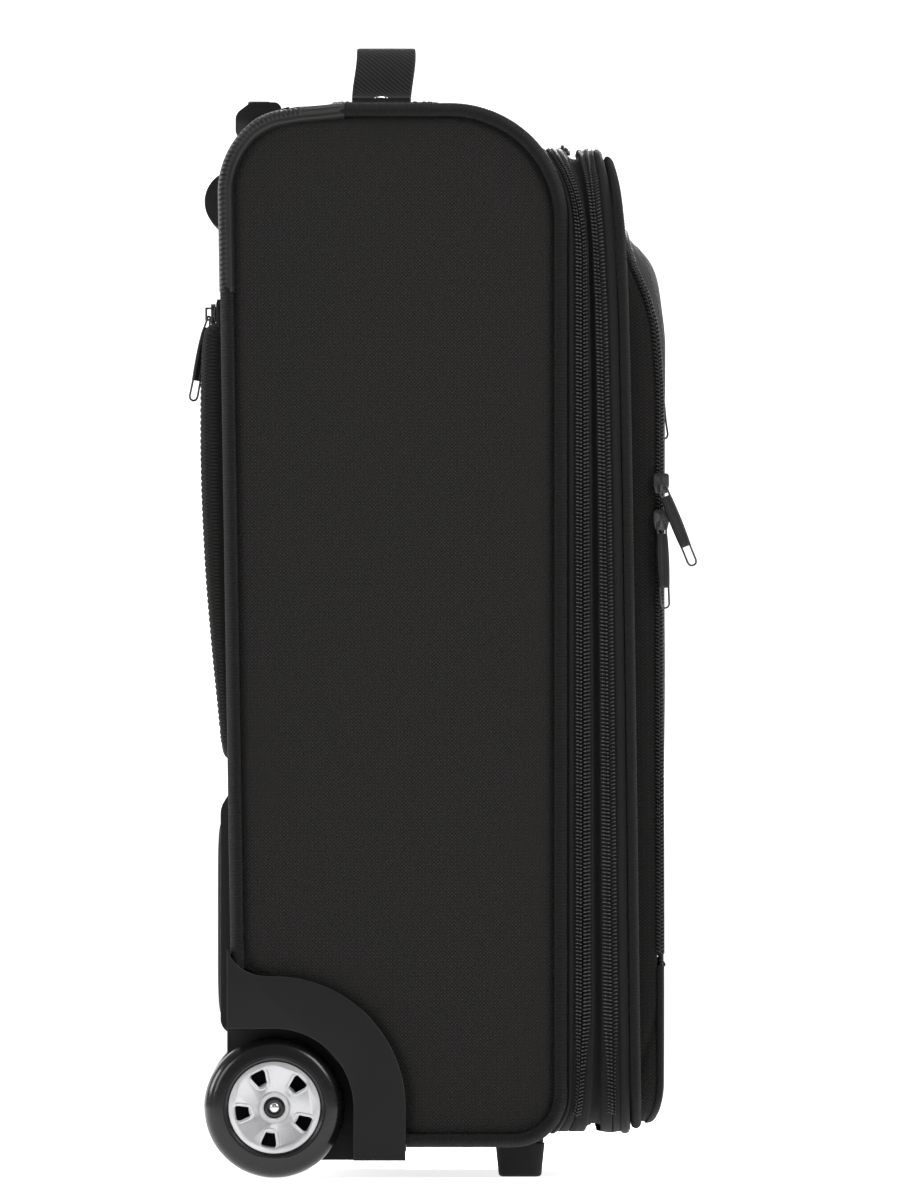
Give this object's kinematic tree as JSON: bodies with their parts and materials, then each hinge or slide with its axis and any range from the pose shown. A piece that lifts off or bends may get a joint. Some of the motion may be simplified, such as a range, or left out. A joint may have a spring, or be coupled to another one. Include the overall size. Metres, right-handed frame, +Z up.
{
  "type": "softside upright suitcase",
  "caption": "Upright softside suitcase with inline corner wheels, telescopic handle, top carry handle, zipped expander, hinged front lid and front and back pockets.",
  "frame": {"origin": "on the floor, under the middle of the whole case", "axes": "+Z up, -Y towards the front (lid and pockets), +Y towards the back (telescopic handle and wheels), X across the width"},
  "size_m": [0.3566, 0.2625, 0.588],
  "materials": {
    "panel_fabric": "plain ballistic weave, matt, near black",
    "piping": "ribbed woven tape",
    "gusset_fabric": "soft folded fabric",
    "zip_tape": "herringbone zip tape with moulded coil",
    "webbing": "woven webbing",
    "grip_pad": "padded twill wrap",
    "lining_fabric": "smooth lining",
    "moulded_plastic": "fine grained moulding",
    "gloss_plastic": "glossy black moulding",
    "board": "ribbed sheet",
    "frame_wire": "extruded stiffener",
    "rubber_foot": "matt rubber",
    "tube_metal": "satin anodised",
    "steel": "zinc plated",
    "hub_silver": "silver painted",
    "tyre_rubber": "polished polyurethane",
    "zip_metal": "black enamel",
    "pull_plastic": "moulded"
  },
  "bodies": {
    "shell": {"side_panel_left": "panel_fabric", "side_panel_right": "panel_fabric", "wrap_fabric": "panel_fabric", "front_frame": "frame_wire", "top_board": "board", "back_board": "board", "bottom_tray": "board", "lining": "lining_fabric", "side_piping": "piping", "corner_guards": "moulded_plastic", "wheel_housing_left": "moulded_plastic", "wheel_housing_right": "moulded_plastic", "kick_plate": "moulded_plastic", "front_feet": "rubber_foot", "handle_bezel": "moulded_plastic", "outer_tubes": "tube_metal", "tube_brackets": "board", "rear_pocket": "panel_fabric", "rear_zip": "zip_tape", "tie_straps": "webbing", "expansion_zip_rear": "zip_tape", "handle_anchors": "moulded_plastic", "carry_webbing": "webbing", "axle_bolts": "steel"},
    "wheel_left": {"tyre_left": "tyre_rubber", "hub_left": "hub_silver", "bearings_left": "steel"},
    "wheel_right": {"tyre_right": "tyre_rubber", "hub_right": "hub_silver", "bearings_right": "steel"},
    "middle_stage": {"middle_tubes": "tube_metal"},
    "grip_stage": {"inner_tubes": "tube_metal", "trolley_grip": "gloss_plastic"},
    "release_button": {"release_button": "gloss_plastic"},
    "push_rods": {"push_rods": "steel"},
    "lock_pins": {"lock_pins": "steel"},
    "carry_handle": {"carry_grip": "grip_pad"},
    "expander": {"expander_band": "panel_fabric", "expander_zips": "zip_tape", "expander_gusset": "gusset_fabric"},
    "lid": {"lid_shell": "panel_fabric", "lid_piping": "piping", "main_zip_front": "zip_tape", "pocket_gusset": "panel_fabric", "pocket_zip": "zip_tape"},
    "pocket_flap": {"pocket_flap": "panel_fabric"},
    "pocket_slider_a": {"pocket_slider_a": "zip_metal"},
    "pocket_pull_a": {"pocket_pull_a": "pull_plastic"},
    "pocket_slider_b": {"pocket_slider_b": "zip_metal"},
    "pocket_pull_b": {"pocket_pull_b": "pull_plastic"},
    "organizer_slider": {"organizer_slider": "zip_metal"},
    "organizer_pull": {"organizer_pull": "pull_plastic"},
    "rear_slider": {"rear_slider": "zip_metal"},
    "rear_pull": {"rear_pull": "pull_plastic"},
    "expansion_slider": {"expansion_slider": "zip_metal"},
    "expansion_pull": {"expansion_pull": "pull_plastic"},
    "main_slider_a": {"main_slider_a": "zip_metal"},
    "main_pull_a": {"main_pull_a": "pull_plastic"},
    "main_slider_b": {"main_slider_b": "zip_metal"},
    "main_pull_b": {"main_pull_b": "pull_plastic"}
  },
  "joints": [
    {"name": "wheel_left_spin", "type": "hinge", "parent": "shell", "child": "wheel_left", "pos_m": [-0.165, 0.0874, 0.0365], "axis": [1, 0, 0], "continuous": true},
    {"name": "wheel_right_spin", "type": "hinge", "parent": "shell", "child": "wheel_right", "pos_m": [0.165, 0.0874, 0.0365], "axis": [1, 0, 0], "continuous": true},
    {"name": "middle_stage_slide", "type": "slide", "parent": "shell", "child": "middle_stage", "axis": [0, 0, 1], "range_m": [0, 0.21]},
    {"name": "grip_stage_slide", "type": "slide", "parent": "middle_stage", "child": "grip_stage", "axis": [0, 0, 1], "range_m": [0, 0.21]},
    {"name": "button_press", "type": "slide", "parent": "grip_stage", "child": "release_button", "axis": [0, 0, -1], "range_m": [0, 0.003], "stiffness_N_per_m": 400, "springref_m": -0.002},
    {"name": "push_rods_slide", "type": "slide", "parent": "grip_stage", "child": "push_rods", "axis": [0, 0, -1], "range_m": [0, 0.003]},
    {"name": "lock_pins_slide", "type": "slide", "parent": "grip_stage", "child": "lock_pins", "axis": [0, 1, 0], "range_m": [0, 0.0009]},
    {"name": "carry_handle_lift", "type": "slide", "parent": "shell", "child": "carry_handle", "axis": [0, 0, 1], "range_m": [-0.01, 0.004], "stiffness_N_per_m": 300, "deforming": ["carry_webbing"]},
    {"name": "expander_slide", "type": "slide", "parent": "shell", "child": "expander", "axis": [0, -1, 0], "range_m": [0, 0.05], "deforming": ["expander_gusset"]},
    {"name": "lid_hinge", "type": "hinge", "parent": "expander", "child": "lid", "pos_m": [0, -0.0867, 0.024], "axis": [1, 0, 0], "range_deg": [0, 90]},
    {"name": "pocket_flap_hinge", "type": "hinge", "parent": "lid", "child": "pocket_flap", "pos_m": [0, -0.115, 0.112], "axis": [1, 0, 0], "range_deg": [0, 50]},
    {"name": "pocket_slider_a_run", "type": "slide", "parent": "lid", "child": "pocket_slider_a", "axis": [0, 0, 1], "range_m": [0, 0.04]},
    {"name": "pocket_pull_a_swing", "type": "hinge", "parent": "pocket_slider_a", "child": "pocket_pull_a", "pos_m": [-0.15955, -0.1132, 0.3587], "axis": [0, 0.9272, -0.3746], "range_deg": [0, 90]},
    {"name": "pocket_slider_b_run", "type": "slide", "parent": "lid", "child": "pocket_slider_b", "axis": [0, 0, 1], "range_m": [-0.2, 0]},
    {"name": "pocket_pull_b_swing", "type": "hinge", "parent": "pocket_slider_b", "child": "pocket_pull_b", "pos_m": [-0.15955, -0.1132, 0.3397], "axis": [0, 0.999, -0.0436], "range_deg": [0, 90]},
    {"name": "organizer_slider_run", "type": "slide", "parent": "lid", "child": "organizer_slider", "axis": [0, 0, 1], "range_m": [-0.2, 0]},
    {"name": "organizer_pull_swing", "type": "hinge", "parent": "organizer_slider", "child": "organizer_pull", "pos_m": [0.15955, -0.1102, 0.4283], "axis": [0, -0.9903, 0.1392], "range_deg": [0, 90]},
    {"name": "rear_slider_run", "type": "slide", "parent": "shell", "child": "rear_slider", "axis": [1, 0, 0], "range_m": [0, 0.24]},
    {"name": "rear_pull_swing", "type": "hinge", "parent": "rear_slider", "child": "rear_pull", "pos_m": [-0.12, 0.12155, 0.4467], "axis": [1, 0, 0], "range_deg": [0, 80]},
    {"name": "expansion_slider_run", "type": "slide", "parent": "shell", "child": "expansion_slider", "axis": [1, 0, 0], "range_m": [-0.15, 0.06]},
    {"name": "expansion_pull_swing", "type": "hinge", "parent": "expansion_slider", "child": "expansion_pull", "pos_m": [0.0413, -0.0625, 0.53555], "axis": [0, -1, 0], "range_deg": [0, 110]},
    {"name": "main_slider_a_run", "type": "slide", "parent": "expander", "child": "main_slider_a", "axis": [0, 0.0152, 0.9999], "range_m": [0, 0.12]},
    {"name": "main_pull_a_swing", "type": "hinge", "parent": "main_slider_a", "child": "main_pull_a", "pos_m": [0.17655, -0.08178, 0.3487], "axis": [0, -0.9999, 0.0152], "range_deg": [0, 90]},
    {"name": "main_slider_b_run", "type": "slide", "parent": "expander", "child": "main_slider_b", "axis": [0, 0.0152, 0.9999], "range_m": [-0.2, 0]},
    {"name": "main_pull_b_swing", "type": "hinge", "parent": "main_slider_b", "child": "main_pull_b", "pos_m": [0.17655, -0.0826, 0.2947], "axis": [0, -0.9999, 0.0152], "range_deg": [0, 90]}
  ],
  "couplings": [
    {"joint": "push_rods_slide", "follows": "button_press", "ratio": 1},
    {"joint": "lock_pins_slide", "follows": "button_press", "ratio": 0.3}
  ]
}
